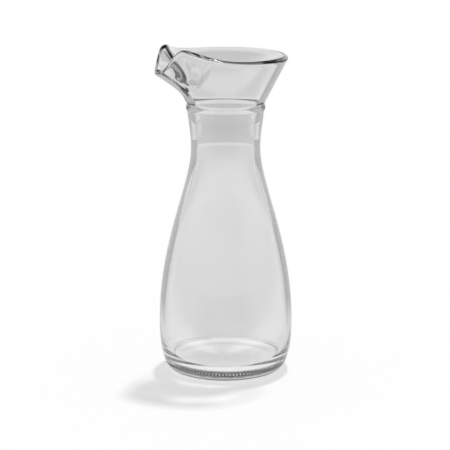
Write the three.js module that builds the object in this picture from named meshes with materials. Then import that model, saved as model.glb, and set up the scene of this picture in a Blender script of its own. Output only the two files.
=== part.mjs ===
import * as THREE from 'three';

// An empty clear glass carafe, blown in one piece. Millimetres, +Z up, standing on z = 0.
// The spout points along -X and the carafe is the same on both sides of the XZ plane.

// Body: radii and heights of the outer wall
const bellyRadius = 42;
const bellyHeight = 31.7;
const shoulderHeight = 83.4;
const neckHeight = 119.1;
const waistRadius = 21.7;
const waistHeight = 142.6;
const footInner = 27;
const footOuter = 31.5;
const pushUp = 0.5;
const pushUpFlat = 11;
const pushUpEnd = 19;
const heelHandle = 8;
const waistHandle = 10;

// Neck ring, where the neck meets the funnel
const neckTopRadius = 24.1;
const neckTop = 166.2;
const neckLean = 0.8;
const neckHandle = 7.5;
const ringRadius = 25.1;
const ringHandle = 0.8;
const grooveRadius = 23.9;
const groove = 170.3;

// Funnel and lip
const lipRadius = 38.4;
const lipHeight = 198.2;
const funnelWall = 3.8;
const lipSquareness = 0.7;

// Inside of the body
const bodyWall = 3.3;
const waistWall = 3.9;
const throatRadius = 17.6;
const throatHeight = 158;
const throatHandle = 5.5;
const throatFlare = 0.8;
const throatFlareHeight = 168;
const floorTurn = 16.5;
const floorCorner = 36.5;
const floorRadius = 29.5;
const floorHeight = 7.8;
const floorCrown = 8.6;
const crownStart = 18;
const crownFlat = 10;

// Spout: how far the lip is drawn out and down at its nose, and up at the two crests beside it
const spoutPull = 7.6;
const spoutPullAngle = 18;
const spoutPullPower = 2.5;
const crestLift = 7.8;
const crestAngle = 49;
const crestPower = 2.4;
const noseDrop = 15.3;
const noseAngle = 16.2;
const nosePower = 3.6;
const spoutStart = 0.28;
const spoutBend = 0.1;
const lipOverhang = 0.9;

// Two dents, pressed in beside the spout while the glass was soft: a flat fan with a fold in it
const foldFoot = 0.39;
const foldDeepest = 0.07;
const foldDepth = 2;
const foldWay = 0.32;
const foldFootWidth = 3;
const foldTopWidth = 7;
const fanDepth = 1.3;
const fanTop = 0.5;
const fanAngle = 15;
const fanWidth = 29;
const fanFlare = 0.42;
const fanPower = 6;
const foldPower = 1.3;
const innerSpread = 0.7;
const innerSoftness = 0.2;

// Facets: turns round the axis, set closer together towards the spout
const turns = 64;
const crowding = 0.6;

const spoutReach = lipRadius + spoutPull + lipOverhang;
const axisX = (spoutReach - bellyRadius) / 2;

const funnelFoot = new THREE.Vector2(grooveRadius, groove);
const funnelEdge = new THREE.Vector2(lipRadius, lipHeight);
const funnelLength = funnelFoot.distanceTo(funnelEdge);
const along = funnelEdge.clone().sub(funnelFoot).normalize();
const across = new THREE.Vector2(along.y, -along.x);

// A point of the funnel's section, by its way up the outer wall and its depth into the glass
function funnelPoint(way, depth) {
  return funnelFoot.clone().addScaledVector(along, way).addScaledVector(across, -depth);
}

function bezier(...points) {
  return new THREE.CubicBezierCurve(...points.map(([radius, height]) => new THREE.Vector2(radius, height)));
}

function line(start, end) {
  return new THREE.LineCurve(new THREE.Vector2(...start), new THREE.Vector2(...end));
}

// Half a squarish round over the lip's edge, from the outer wall to the inner one
class LipRound extends THREE.Curve {
  getPoint(share) {
    const half = funnelWall / 2;
    const angle = Math.PI * share;
    const rise = Math.sin(angle) ** lipSquareness;
    const side = Math.sign(Math.cos(angle)) * Math.abs(Math.cos(angle)) ** lipSquareness;
    return funnelPoint(funnelLength + half * rise, half * (1 - side));
  }
}

// The section of the wall: up the outside, over the lip and down the inside
function wallSection() {
  const belly = [bellyRadius, bellyHeight];
  const waist = [waistRadius, waistHeight];
  const neckEnd = [neckTopRadius, neckTop];
  const outerFoot = [grooveRadius, groove];
  const outside = [
    [bezier([0, pushUp], [pushUpFlat, pushUp], [pushUpEnd, 0], [footInner, 0]), 4],
    [line([footInner, 0], [footOuter, 0]), 1],
    [bezier([footOuter, 0], [bellyRadius, 0], [bellyRadius, bellyHeight - heelHandle], belly), 7],
    [bezier(belly, [bellyRadius, shoulderHeight], [waistRadius, neckHeight], waist), 12],
    [
      bezier(
        waist,
        [waistRadius, waistHeight + waistHandle],
        [neckTopRadius - neckLean, neckTop - neckHandle],
        neckEnd,
      ),
      4,
    ],
    [bezier(neckEnd, [ringRadius, neckTop + ringHandle], [ringRadius, groove - ringHandle], outerFoot), 5],
    [line(outerFoot, [lipRadius, lipHeight]), 10],
    [new LipRound(), 6],
  ];
  const innerEdge = funnelPoint(funnelLength, funnelWall).toArray();
  const innerFoot = funnelPoint(0, funnelWall).toArray();
  const throat = [throatRadius, throatHeight];
  const innerWaist = waistRadius - waistWall;
  const innerBelly = bellyRadius - bodyWall;
  const inside = [
    [line(innerEdge, innerFoot), 10],
    [
      bezier(
        innerFoot,
        [throatRadius + throatFlare, throatFlareHeight],
        [throatRadius, throatHeight + throatHandle],
        throat,
      ),
      3,
    ],
    [
      bezier(
        throat,
        [throatRadius, throatHeight - throatHandle],
        [innerWaist, waistHeight + throatHandle],
        [innerWaist, waistHeight],
      ),
      2,
    ],
    [
      bezier(
        [innerWaist, waistHeight],
        [innerWaist, neckHeight],
        [innerBelly, shoulderHeight],
        [innerBelly, bellyHeight],
      ),
      10,
    ],
    [
      bezier(
        [innerBelly, bellyHeight],
        [innerBelly, floorTurn],
        [floorCorner, floorHeight],
        [floorRadius, floorHeight],
      ),
      6,
    ],
    [
      bezier(
        [floorRadius, floorHeight],
        [crownStart, floorHeight],
        [crownFlat, floorCrown],
        [0, floorCrown],
      ),
      2,
    ],
  ];
  const section = [outside[0][0].getPoint(0)];
  for (const [curve, steps] of [...outside, ...inside]) {
    section.push(...curve.getPoints(steps).slice(1));
  }
  return section;
}

function bell(value, width, power) {
  return Math.exp(-((Math.abs(value) / width) ** power));
}

// How far up the funnel the spout has opened: none at its foot, all at the lip, with a soft start
function opening(way) {
  const share = (way / funnelLength - spoutStart) / spoutBend;
  return (Math.log1p(Math.exp(share)) * spoutBend) / (1 - spoutStart);
}

// How deep the glass beside the spout is pressed. The fan and the fold start at one foot just above the
// neck, fade out towards the lip and are softer on the inner wall. The angle is from the spout, in degrees
function dent(way, angle, depth) {
  const { clamp, lerp, smoothstep } = THREE.MathUtils;
  const rise = (way / funnelLength - foldFoot) / (1 - foldFoot);
  const reach = clamp(rise, 0.001, 1);
  const spread = 1 + (innerSpread * depth) / funnelWall;
  const width = fanWidth * reach ** fanFlare;
  const fanHalf = (width * (1 + spread)) / 4;
  const fan = bell(angle - fanAngle - width / 2, fanHalf, fanPower) * (1 - smoothstep(rise, fanTop, 1));
  const foldWidth = lerp(foldFootWidth, foldTopWidth, reach) * spread;
  const softness = foldPower + (innerSoftness * depth) / funnelWall;
  const crease = bell(angle - fanAngle - foldWay * width, foldWidth, softness);
  const fold = crease * (1 - smoothstep(rise, foldDeepest, 1));
  return (fanDepth * fan + foldDepth * fold) * smoothstep(rise, 0, foldDeepest * spread);
}

// The outer wall of the funnel with its spout, before the dents
function funnelWallPoint(way, turn) {
  const angle = Math.abs(THREE.MathUtils.radToDeg(turn));
  const open = opening(way);
  const pull = spoutPull * bell(angle, spoutPullAngle, spoutPullPower);
  const rise = crestLift * bell(angle, crestAngle, crestPower);
  const drop = noseDrop * bell(angle, noseAngle, nosePower);
  const point = funnelPoint(way, 0);
  const radius = point.x + open * pull;
  return new THREE.Vector3(-radius * Math.cos(turn), radius * Math.sin(turn), point.y + open * (rise - drop));
}

// Any point of the funnel's glass: on the outer wall, then square into the glass by its depth
function funnelGlassPoint(radius, height, turn) {
  const flat = new THREE.Vector2(radius, height).sub(funnelFoot);
  const way = flat.dot(along);
  const depth = -flat.dot(across);
  const nudge = 0.01;
  const point = funnelWallPoint(way, turn);
  const upward = funnelWallPoint(way + nudge, turn).sub(point);
  const sideways = funnelWallPoint(way, turn + nudge).sub(point);
  const inward = sideways.cross(upward).normalize();
  const angle = Math.abs(THREE.MathUtils.radToDeg(turn));
  return point.addScaledVector(inward, depth + dent(way, angle, depth));
}

// Spins the section, sets the facets closer at the spout and draws the funnel out to its spout
function carafeGeometry() {
  const geometry = new THREE.LatheGeometry(wallSection(), turns);
  geometry.rotateX(Math.PI / 2);
  const position = geometry.getAttribute('position');
  const vertex = new THREE.Vector3();
  for (let i = 0; i < position.count; i += 1) {
    vertex.fromBufferAttribute(position, i);
    const radius = Math.hypot(vertex.x, vertex.y);
    const even = Math.atan2(vertex.y, -vertex.x);
    const turn = even - crowding * Math.sin(even);
    if (vertex.z > groove) vertex.copy(funnelGlassPoint(radius, vertex.z, turn));
    else vertex.set(-radius * Math.cos(turn), radius * Math.sin(turn), vertex.z);
    position.setXYZ(i, vertex.x, vertex.y, vertex.z);
  }
  geometry.computeVertexNormals();
  return geometry;
}

const clearGlass = new THREE.MeshStandardMaterial({
  color: 0xe3e6e5,
  roughness: 0.03,
  metalness: 0,
  transparent: true,
  opacity: 0.35,
});

const carafe = new THREE.Mesh(carafeGeometry(), clearGlass);
carafe.name = 'carafe_glass';
carafe.position.x = axisX;

const group = new THREE.Group();
group.add(carafe);

export default group;
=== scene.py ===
import math

import bmesh
import bpy
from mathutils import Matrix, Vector
from mathutils.geometry import interpolate_bezier


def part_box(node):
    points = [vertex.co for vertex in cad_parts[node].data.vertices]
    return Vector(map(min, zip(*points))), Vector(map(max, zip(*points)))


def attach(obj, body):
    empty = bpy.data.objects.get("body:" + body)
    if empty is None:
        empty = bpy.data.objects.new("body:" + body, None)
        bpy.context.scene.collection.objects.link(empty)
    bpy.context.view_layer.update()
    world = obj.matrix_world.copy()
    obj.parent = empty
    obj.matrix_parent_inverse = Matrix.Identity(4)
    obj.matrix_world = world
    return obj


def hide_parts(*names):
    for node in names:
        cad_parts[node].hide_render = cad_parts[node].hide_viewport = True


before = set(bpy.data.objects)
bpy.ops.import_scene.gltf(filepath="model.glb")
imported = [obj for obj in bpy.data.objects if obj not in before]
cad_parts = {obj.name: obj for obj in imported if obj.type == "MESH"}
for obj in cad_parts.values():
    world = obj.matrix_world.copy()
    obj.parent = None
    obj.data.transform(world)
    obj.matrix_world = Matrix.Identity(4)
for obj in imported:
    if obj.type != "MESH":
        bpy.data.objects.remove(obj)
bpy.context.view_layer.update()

# Carafe glass: one blown and pressed piece of clear soda glass. Its wall is drawn as a section, from the
# push-up under the base round the outside, over the lip and down the inside, and spun about the axis. The
# lip is then drawn out to a spout between two dents, as it was with the glass still soft.
glass_low, glass_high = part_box("carafe_glass")
MM = 0.001

# Outside of the body
BELLY_RADIUS = 42 * MM
BELLY_HEIGHT = 31.7 * MM
SHOULDER_HEIGHT = 83.4 * MM
NECK_HEIGHT = 119.1 * MM
WAIST_RADIUS = 21.7 * MM
WAIST_HEIGHT = 142.6 * MM
FOOT_INNER = 27 * MM
FOOT_OUTER = 31.5 * MM
PUSH_UP = 0.5 * MM
PUSH_UP_FLAT = 11 * MM
PUSH_UP_END = 19 * MM
HEEL_HANDLE = 8 * MM
WAIST_HANDLE = 10 * MM
AXIS_X = glass_high[0] - BELLY_RADIUS

# Neck ring, where the neck meets the funnel
NECK_TOP_RADIUS = 24.1 * MM
NECK_TOP = 166.2 * MM
NECK_LEAN = 0.8 * MM
NECK_HANDLE = 7.5 * MM
RING_RADIUS = 25.1 * MM
RING_LOW_HANDLE = 0.9 * MM
RING_TOP_HANDLE = 0.7 * MM
GROOVE_RADIUS = 23.9 * MM
GROOVE = 170.3 * MM

# Funnel and lip
LIP_RADIUS = 38.4 * MM
LIP_HEIGHT = 198.2 * MM
FUNNEL_WALL = 3.8 * MM
LIP_SQUARENESS = 0.7

# Inside of the body
BODY_WALL = 3.3 * MM
WAIST_WALL = 3.9 * MM
THROAT_RADIUS = 17.6 * MM
THROAT_HEIGHT = 158 * MM
THROAT_HANDLE = 6 * MM
THROAT_FLARE = 0.8 * MM
THROAT_FLARE_HEIGHT = 168 * MM
INNER_WAIST_HANDLE = 5.4 * MM
FLOOR_TURN = 16.5 * MM
FLOOR_CORNER = 36.5 * MM
FLOOR_RADIUS = 29.5 * MM
FLOOR_HEIGHT = 7.8 * MM
FLOOR_CROWN = 8.6 * MM
CROWN_START = 18 * MM
CROWN_FLAT = 10 * MM

# Facets: the turns are set closer together towards the spout
GLASS_TURNS = 500
CROWDING = 0.6
FUNNEL_STEPS = 23
LIP_STEPS = 12
MERGE_DISTANCE = 0.0005 * MM

funnel_foot = Vector((GROOVE_RADIUS, GROOVE))
funnel_edge = Vector((LIP_RADIUS, LIP_HEIGHT))
funnel_length = (funnel_edge - funnel_foot).length
funnel_way = (funnel_edge - funnel_foot).normalized()
funnel_out = Vector((funnel_way.y, -funnel_way.x))


def funnel_section(way, depth):
    """A point of the funnel's section, by its way up the outer wall and its depth into the glass."""
    return funnel_foot + funnel_way * way - funnel_out * depth


def lip_round(share):
    """Half a squarish round over the lip's edge, from the outer wall to the inner one."""
    half = FUNNEL_WALL / 2
    angle = math.pi * share
    rise = math.sin(angle) ** LIP_SQUARENESS
    side = math.copysign(abs(math.cos(angle)) ** LIP_SQUARENESS, math.cos(angle))
    return funnel_section(funnel_length + half * rise, half * (1 - side))


def bend(points, near_start, near_end, end, steps):
    """Carries the points on along a Bezier curve."""
    corners = [Vector((*corner, 0)) for corner in (points[-1], near_start, near_end, end)]
    curve = interpolate_bezier(*corners, steps + 1)
    points.extend(point.xy for point in curve[1:])


def line(points, end, steps):
    """Carries the points on along a straight line."""
    start = points[-1]
    points.extend([start.lerp(Vector(end), step / steps) for step in range(1, steps + 1)])


def wall_section():
    """The section's points, each a radius and a height."""
    belly = (BELLY_RADIUS, BELLY_HEIGHT)
    waist = (WAIST_RADIUS, WAIST_HEIGHT)
    neck_end = (NECK_TOP_RADIUS, NECK_TOP)
    inner_belly = BELLY_RADIUS - BODY_WALL
    inner_waist = WAIST_RADIUS - WAIST_WALL

    points = [Vector((0, PUSH_UP))]
    bend(points, (PUSH_UP_FLAT, PUSH_UP), (PUSH_UP_END, 0), (FOOT_INNER, 0), steps=8)
    line(points, (FOOT_OUTER, 0), steps=2)
    bend(points, (BELLY_RADIUS, 0), (BELLY_RADIUS, BELLY_HEIGHT - HEEL_HANDLE), belly, steps=52)
    bend(points, (BELLY_RADIUS, SHOULDER_HEIGHT), (WAIST_RADIUS, NECK_HEIGHT), waist, steps=18)
    near_waist = (WAIST_RADIUS, WAIST_HEIGHT + WAIST_HANDLE)
    near_ring = (NECK_TOP_RADIUS - NECK_LEAN, NECK_TOP - NECK_HANDLE)
    bend(points, near_waist, near_ring, neck_end, steps=7)
    ring_low = (RING_RADIUS, NECK_TOP + RING_LOW_HANDLE)
    ring_top = (RING_RADIUS, GROOVE - RING_TOP_HANDLE)
    bend(points, ring_low, ring_top, funnel_foot, steps=8)
    line(points, funnel_edge, steps=FUNNEL_STEPS)
    points.extend([lip_round(step / LIP_STEPS) for step in range(1, LIP_STEPS + 1)])

    line(points, funnel_section(0, FUNNEL_WALL), steps=FUNNEL_STEPS)
    flare = (THROAT_RADIUS + THROAT_FLARE, THROAT_FLARE_HEIGHT)
    throat = (THROAT_RADIUS, THROAT_HEIGHT)
    bend(points, flare, (THROAT_RADIUS, THROAT_HEIGHT + THROAT_HANDLE), throat, steps=8)
    throat_low = (THROAT_RADIUS, THROAT_HEIGHT - THROAT_HANDLE)
    above_waist = (inner_waist, WAIST_HEIGHT + INNER_WAIST_HANDLE)
    bend(points, throat_low, above_waist, (inner_waist, WAIST_HEIGHT), steps=4)
    below_waist = (inner_waist, NECK_HEIGHT)
    bend(points, below_waist, (inner_belly, SHOULDER_HEIGHT), (inner_belly, BELLY_HEIGHT), steps=14)
    floor_edge = (FLOOR_RADIUS, FLOOR_HEIGHT)
    bend(points, (inner_belly, FLOOR_TURN), (FLOOR_CORNER, FLOOR_HEIGHT), floor_edge, steps=14)
    bend(points, (CROWN_START, FLOOR_HEIGHT), (CROWN_FLAT, FLOOR_CROWN), (0, FLOOR_CROWN), steps=6)
    return points


# Spout: how far the lip is drawn out and down at its nose, and up at two crests, by degrees from the nose
SPOUT_PULL = 7.6 * MM
SPOUT_PULL_ANGLE = 18
SPOUT_PULL_POWER = 2.5
CREST_LIFT = 7.8 * MM
CREST_ANGLE = 49
CREST_POWER = 2.4
NOSE_DROP = 15.3 * MM
NOSE_ANGLE = 16.2
NOSE_POWER = 3.6
SPOUT_START = 0.28
SPOUT_BEND = 0.1
WAY_NUDGE = 0.01 * MM
TURN_NUDGE = 0.0005

# Two dents, pressed in beside the spout while the glass was soft: a flat fan with a fold in it
FOLD_FOOT = 0.39
FOLD_DEEPEST = 0.07
FOLD_DEPTH = 2 * MM
FOLD_WAY = 0.32
FOLD_FOOT_WIDTH = 3
FOLD_TOP_WIDTH = 7
FOLD_SOFTNESS = 0.3
FAN_DEPTH = 1.3 * MM
FAN_TOP = 0.5
FAN_ANGLE = 15
FAN_WIDTH = 29
FAN_FLARE = 0.42
FAN_POWER = 6
LEAST_REACH = 0.001
INNER_SPREAD = 0.7


def bell(value, width, power):
    return math.exp(-((abs(value) / width) ** power))


def smooth_step(value, low, high):
    share = min(max((value - low) / (high - low), 0), 1)
    return share * share * (3 - 2 * share)


def spout_opening(way):
    """How far up the funnel the spout has opened: none at its foot, all at the lip, with a soft start."""
    share = (way / funnel_length - SPOUT_START) / SPOUT_BEND
    return math.log1p(math.exp(share)) * SPOUT_BEND / (1 - SPOUT_START)


def dent_depth(way, angle, depth):
    """How deep the glass beside the spout is pressed. The fold and the fan meet at a foot just above the
    neck and fade out towards the lip, and they are softer on the inner wall."""
    rise = (way / funnel_length - FOLD_FOOT) / (1 - FOLD_FOOT)
    reach = min(max(rise, LEAST_REACH), 1)
    spread = 1 + INNER_SPREAD * depth / FUNNEL_WALL
    fan_width = FAN_WIDTH * reach ** FAN_FLARE
    fan_half = fan_width / 2 * (1 + spread) / 2
    fan = FAN_DEPTH * bell(angle - FAN_ANGLE - fan_width / 2, fan_half, FAN_POWER)
    fan *= 1 - smooth_step(rise, FAN_TOP, 1)
    fold_width = (FOLD_FOOT_WIDTH + (FOLD_TOP_WIDTH - FOLD_FOOT_WIDTH) * reach) * spread
    fold = FOLD_DEPTH * bell(angle - FAN_ANGLE - FOLD_WAY * fan_width, fold_width, 1 + FOLD_SOFTNESS * spread)
    fold *= 1 - smooth_step(rise, FOLD_DEEPEST, 1)
    return (fan + fold) * smooth_step(rise, 0, FOLD_DEEPEST * spread)


def funnel_outside(way, turn):
    """The outer wall of the funnel with its spout, before the dents. The turn is from the spout's nose."""
    angle = abs(math.degrees(turn))
    opened = spout_opening(way)
    pull = SPOUT_PULL * bell(angle, SPOUT_PULL_ANGLE, SPOUT_PULL_POWER)
    rise = CREST_LIFT * bell(angle, CREST_ANGLE, CREST_POWER)
    drop = NOSE_DROP * bell(angle, NOSE_ANGLE, NOSE_POWER)
    point = funnel_section(way, 0)
    radius = point.x + opened * pull
    height = point.y + opened * (rise - drop)
    return Vector((-radius * math.cos(turn), radius * math.sin(turn), height))


def funnel_glass(radius, height, turn):
    """Any point of the funnel's glass: on the outer wall, then square into the glass by its depth."""
    flat = Vector((radius, height)) - funnel_foot
    way = flat.dot(funnel_way)
    depth = -flat.dot(funnel_out)
    point = funnel_outside(way, turn)
    upward = funnel_outside(way + WAY_NUDGE, turn) - point
    sideways = funnel_outside(way, turn + TURN_NUDGE) - point
    inward = sideways.cross(upward).normalized()
    return point + inward * (depth + dent_depth(way, abs(math.degrees(turn)), depth))


# Ridges: a row of short ones round the heel, just above the table
RIDGES = 108
RIDGE_DEPTH = 1.3 * MM
RIDGE_HEIGHT = 6.6 * MM
RIDGE_REACH = 1.6 * MM
RIDGE_POWER = 4
RIDGE_LIFT = 0.6


def ridged(point, turn):
    """Moves a point of the heel into the glass and up, where it lies between two ridges."""
    radius = math.hypot(point.x, point.y)
    if radius < FLOOR_CORNER:
        return point
    cut = RIDGE_DEPTH * bell(point.z - RIDGE_HEIGHT, RIDGE_REACH, RIDGE_POWER)
    cut *= (1 - math.cos(RIDGES * turn)) / 2
    return point - Vector((point.x / radius, point.y / radius, -RIDGE_LIFT)) * cut


def carafe_mesh():
    bm = bmesh.new()
    section = [bm.verts.new((point.x, 0, point.y)) for point in wall_section()]
    edges = [bm.edges.new(pair) for pair in zip(section, section[1:])]
    bmesh.ops.spin(
        bm,
        geom=section + edges,
        cent=(0, 0, 0),
        axis=(0, 0, 1),
        angle=math.tau,
        steps=GLASS_TURNS,
        use_merge=True,
    )
    bmesh.ops.remove_doubles(bm, verts=bm.verts, dist=MERGE_DISTANCE)
    for vert in bm.verts:
        radius = math.hypot(vert.co.x, vert.co.y)
        even = math.atan2(vert.co.y, -vert.co.x)
        turn = even - CROWDING * math.sin(even)
        if vert.co.z > GROOVE:
            vert.co = funnel_glass(radius, vert.co.z, turn)
        else:
            vert.co = ridged(Vector((-radius * math.cos(turn), radius * math.sin(turn), vert.co.z)), turn)
    bmesh.ops.translate(bm, verts=bm.verts, vec=(AXIS_X, 0, 0))
    bmesh.ops.recalc_face_normals(bm, faces=bm.faces)
    for face in bm.faces:
        face.smooth = True
    mesh = bpy.data.meshes.new("carafe")
    bm.to_mesh(mesh)
    bm.free()
    return mesh


# Clear glass: a slight grey tint, a little loss of light in its depth and a faint ripple
GLASS_TINT = 0.94
DEPTH_TINT = 0.2
DEPTH_DENSITY = 4
RIPPLE_SCALE = 45
RIPPLE_DETAIL = 1.5
RIPPLE_STRENGTH = 0.06
RIPPLE_HEIGHT = 1 * MM


def grey(level):
    return (level, level, level, 1)


def clear_glass():
    material = bpy.data.materials.new("clear_glass")
    material.use_nodes = True
    nodes, links = material.node_tree.nodes, material.node_tree.links
    shader = nodes["Principled BSDF"]
    shader.inputs["Base Color"].default_value = grey(GLASS_TINT)
    shader.inputs["Roughness"].default_value = 0.0
    shader.inputs["IOR"].default_value = 1.5
    shader.inputs["Transmission Weight"].default_value = 1.0
    depth = nodes.new("ShaderNodeVolumeAbsorption")
    depth.inputs["Color"].default_value = grey(DEPTH_TINT)
    depth.inputs["Density"].default_value = DEPTH_DENSITY
    links.new(depth.outputs["Volume"], nodes["Material Output"].inputs["Volume"])
    place = nodes.new("ShaderNodeTexCoord")
    ripple = nodes.new("ShaderNodeTexNoise")
    ripple.inputs["Scale"].default_value = RIPPLE_SCALE
    ripple.inputs["Detail"].default_value = RIPPLE_DETAIL
    bump = nodes.new("ShaderNodeBump")
    bump.inputs["Strength"].default_value = RIPPLE_STRENGTH
    bump.inputs["Distance"].default_value = RIPPLE_HEIGHT
    links.new(place.outputs["Object"], ripple.inputs["Vector"])
    links.new(ripple.outputs["Fac"], bump.inputs["Height"])
    links.new(bump.outputs["Normal"], shader.inputs["Normal"])
    return material


carafe = bpy.data.objects.new("carafe", carafe_mesh())
bpy.context.collection.objects.link(carafe)
carafe.data.materials.append(clear_glass())
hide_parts("carafe_glass")
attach(carafe, "root")
carafe.cycles.is_caustics_caster = True

# Floor: a wide pale sheet with painted light: it glows, though it is no lamp, so that it is white where it is
# seen directly. Through the glass and in its reflections its glow is dimmed to painted shade and painted
# reflections of a studio's dark and bright parts. How dark depends on the distance from the carafe and on the
# side of it, in a pattern fixed to the floor and lined up with the camera's azimuth.
AZIMUTH = math.radians(-25.8)
FLOOR_SIZE = 8.0
FLOOR_DROP = 0.1 * MM
FLOOR_GLOW = 0.54
FLOOR_GREY = 0.9
FLOOR_ROUGHNESS = 0.9

# Painted light and shade on the floor seen through the glass, bright under the carafe and darker in bands
# further off:
# each pair is a share of THROUGH_REACH from the carafe and a grey level
THROUGH_REACH = 4.0
THROUGH_FULL = 1.8
THROUGH_PAINTED_LEVELS = (
    (0.0, 0.82), (0.008, 0.8), (0.015, 0.42), (0.03, 0.4), (0.06, 0.42), (0.15, 0.5), (0.175, 0.45),
    (0.2, 0.39), (0.24, 0.35), (0.265, 0.37), (0.28, 0.48), (0.315, 0.48), (0.35, 0.26), (1.0, 0.25),
)

# Levels round the carafe: each pair is a share of a whole turn, with the far side at a half, and a grey level
# On the floor seen through the glass these are painted light, two bright bands either side of the far side;
# for the room they set its light.
SIDE_FULL = 1.25
SIDE_LEVELS = (
    (0.0, 0.8), (0.36, 0.8), (0.4, 1.0), (0.44, 1.0), (0.462, 0.8), (0.538, 0.8), (0.56, 1.0), (0.6, 1.0),
    (0.64, 0.8), (1.0, 0.8),
)
# Painted reflections on the floor: bright and dark parts of a studio round the carafe, seen in the glass.
PAINTED_REFLECTION_LEVELS = (
    (0.0, 0.15), (0.1, 0.15), (0.15, 0.9), (0.33, 0.9), (0.37, 0.15), (0.41, 0.15), (0.46, 0.4),
    (0.54, 0.4), (0.59, 0.15), (0.63, 0.15), (0.67, 0.9), (0.85, 0.9), (0.9, 0.15), (1.0, 0.15),
)

# Close to the carafe the painted reflection of the floor stays bright, and fades over this reach
NEAR_REACH = 0.2
NEAR_FULL = 1.3


def grey_ramp(nodes, stops):
    levels = nodes.new("ShaderNodeValToRGB")
    ramp = levels.color_ramp
    while len(ramp.elements) < len(stops):
        ramp.elements.new(0.5)
    for element, (place, level) in zip(ramp.elements, stops):
        element.position = place
        element.color = grey(level)
    return levels


def maths(nodes, links, operation, first, second):
    """A Math node. Each input is a number or another node's output."""
    node = nodes.new("ShaderNodeMath")
    node.operation = operation
    for socket, value in zip(node.inputs, (first, second)):
        if isinstance(value, (int, float)):
            socket.default_value = value
        else:
            links.new(value, socket)
    return node.outputs[0]


def levels_around(nodes, links, place, stops):
    """How bright the studio is round the carafe, from the photo's side past the far side and back."""
    turned = nodes.new("ShaderNodeMapping")
    turned.inputs["Rotation"].default_value = (0, 0, -AZIMUTH - math.pi / 2)
    round_about = nodes.new("ShaderNodeTexGradient")
    round_about.gradient_type = "RADIAL"
    levels = grey_ramp(nodes, stops)
    links.new(place, turned.inputs["Vector"])
    links.new(turned.outputs["Vector"], round_about.inputs["Vector"])
    links.new(round_about.outputs["Fac"], levels.inputs["Fac"])
    return levels.outputs["Color"]


def seen_light(nodes, links, through, around):
    """How bright the studio looks: full when seen past the glass, less through it or reflected in it.
    On the floor this makes painted shade and painted reflections; for the room it sets its light.
    """
    path = nodes.new("ShaderNodeLightPath")
    level = 1
    for depth, seen in (("Transmission Depth", through), ("Glossy Depth", around)):
        share = maths(nodes, links, "MINIMUM", path.outputs[depth], 1)
        loss = maths(nodes, links, "SUBTRACT", 1, seen)
        loss = maths(nodes, links, "MULTIPLY", loss, share)
        left = maths(nodes, links, "SUBTRACT", 1, loss)
        level = maths(nodes, links, "MULTIPLY", level, left)
    return level


def floor_mesh():
    bm = bmesh.new()
    bmesh.ops.create_grid(bm, x_segments=1, y_segments=1, size=FLOOR_SIZE / 2)
    bmesh.ops.translate(bm, verts=bm.verts, vec=(0, 0, glass_low[2] - FLOOR_DROP))
    mesh = bpy.data.meshes.new("floor")
    bm.to_mesh(mesh)
    bm.free()
    return mesh


# Painted light and shade seen through the glass, as a level that multiplies the floor's glow.
def painted_through_level(nodes, links, place, away):
    levels = grey_ramp(nodes, THROUGH_PAINTED_LEVELS)
    links.new(maths(nodes, links, "DIVIDE", away, THROUGH_REACH), levels.inputs["Fac"])
    level = maths(nodes, links, "MULTIPLY", levels.outputs["Color"], THROUGH_FULL * SIDE_FULL)
    return maths(nodes, links, "MULTIPLY", level, levels_around(nodes, links, place, SIDE_LEVELS))


# Painted reflections: the floor's glow as it is seen in the glass.
def painted_reflection_level(nodes, links, place, away):
    near = maths(nodes, links, "DIVIDE", away, NEAR_REACH)
    near = maths(nodes, links, "SUBTRACT", NEAR_FULL, near)
    level = maths(nodes, links, "MAXIMUM", near, levels_around(nodes, links, place, PAINTED_REFLECTION_LEVELS))
    return maths(nodes, links, "MINIMUM", level, 1)


def floor_painted_glow():
    material = bpy.data.materials.new("floor_painted_glow")
    material.use_nodes = True
    nodes, links = material.node_tree.nodes, material.node_tree.links
    shader = nodes["Principled BSDF"]
    shader.inputs["Base Color"].default_value = grey(FLOOR_GREY)
    shader.inputs["Roughness"].default_value = FLOOR_ROUGHNESS
    # Painted light: the floor glows by its own emission, though it is no lamp.
    shader.inputs["Emission Strength"].default_value = FLOOR_GLOW
    place = nodes.new("ShaderNodeTexCoord").outputs["Object"]
    distance = nodes.new("ShaderNodeVectorMath")
    distance.operation = "LENGTH"
    links.new(place, distance.inputs[0])
    away = distance.outputs["Value"]
    through = painted_through_level(nodes, links, place, away)
    around = painted_reflection_level(nodes, links, place, away)
    # The glow is dimmed to painted shade and painted reflections where the floor is seen through or in the
    # glass.
    links.new(seen_light(nodes, links, through, around), shader.inputs["Emission Color"])
    return material


floor = bpy.data.objects.new("floor", floor_mesh())
bpy.context.collection.objects.link(floor)
floor.data.materials.append(floor_painted_glow())
floor.cycles.is_caustics_receiver = True

# Studio light: a bright room whose light falls off overhead, and one high lamp behind the carafe and to its
# right, which throws the soft shadow forward and to the left.
ROOM_THROUGH = 0.64
ROOM_LEVELS = ((0.0, 1.0), (0.22, 0.95), (0.36, 0.35), (0.5, 0.1), (1.0, 0.1))
KEY_HEIGHT = math.radians(75)
KEY_ASIDE = 0.36
KEY_BEHIND = 0.933
KEY_SPREAD = math.radians(4.5)
KEY_ENERGY = 1.0


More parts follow.
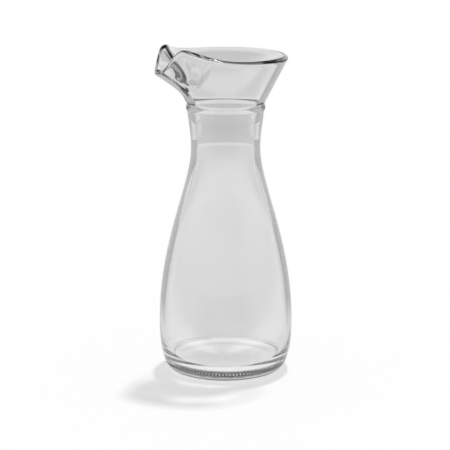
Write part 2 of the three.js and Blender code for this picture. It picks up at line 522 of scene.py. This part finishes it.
def studio_room():
    world = bpy.data.worlds.new("studio")
    world.use_nodes = True
    nodes, links = world.node_tree.nodes, world.node_tree.links
    place = nodes.new("ShaderNodeTexCoord").outputs["Generated"]
    split = nodes.new("ShaderNodeSeparateXYZ")
    levels = grey_ramp(nodes, ROOM_LEVELS)
    links.new(place, split.inputs["Vector"])
    links.new(split.outputs["Z"], levels.inputs["Fac"])
    sides = levels_around(nodes, links, place, SIDE_LEVELS)
    through = maths(nodes, links, "MULTIPLY", sides, ROOM_THROUGH * SIDE_FULL)
    background = nodes["Background"]
    links.new(levels.outputs["Color"], background.inputs["Color"])
    links.new(seen_light(nodes, links, through, 1), background.inputs["Strength"])
    return world


bpy.context.scene.world = studio_room()

up = Vector((0, 0, 1))
right = Vector((math.cos(AZIMUTH), math.sin(AZIMUTH), 0))
photo_side = Vector((math.sin(AZIMUTH), -math.cos(AZIMUTH), 0))

key = bpy.data.lights.new("key", "SUN")
key.angle = KEY_SPREAD
key.energy = KEY_ENERGY
key.cycles.is_caustics_light = True
key_lamp = bpy.data.objects.new("key", key)
key_from = (right * KEY_ASIDE - photo_side * KEY_BEHIND) * math.cos(KEY_HEIGHT) + up * math.sin(KEY_HEIGHT)
key_lamp.rotation_euler = key_from.to_track_quat("Z", "Y").to_euler()
bpy.context.collection.objects.link(key_lamp)

# Camera: a long lens that looks down a little at the carafe. The spout points to the left, and about a
# quarter of a right angle towards the camera.
ELEVATION = math.radians(12.5)
DISTANCE = 1.327
AIM_HEIGHT = 92.8 * MM
AIM_LEFT = 0.4 * MM
FOCAL_LENGTH = 168
SENSOR_WIDTH = 36
VIEW_REACH = 50

back = photo_side * math.cos(ELEVATION) + up * math.sin(ELEVATION)
aim = Vector((AXIS_X, 0, AIM_HEIGHT)) - right * AIM_LEFT
lens = bpy.data.cameras.new("camera")
lens.lens = FOCAL_LENGTH
lens.sensor_width = SENSOR_WIDTH
lens.clip_end = VIEW_REACH
camera = bpy.data.objects.new("camera", lens)
camera.location = aim + back * DISTANCE
camera.rotation_euler = back.to_track_quat("Z", "Y").to_euler()
bpy.context.collection.objects.link(camera)
bpy.context.scene.camera = camera

# Picture: enough bounces for light to pass all the layers of the wall
GLASS_BOUNCES = 24
GLOSSY_BOUNCES = 16

scene = bpy.context.scene
scene.view_settings.view_transform = "Standard"
scene.cycles.max_bounces = GLASS_BOUNCES
scene.cycles.transmission_bounces = GLASS_BOUNCES
scene.cycles.glossy_bounces = GLOSSY_BOUNCES
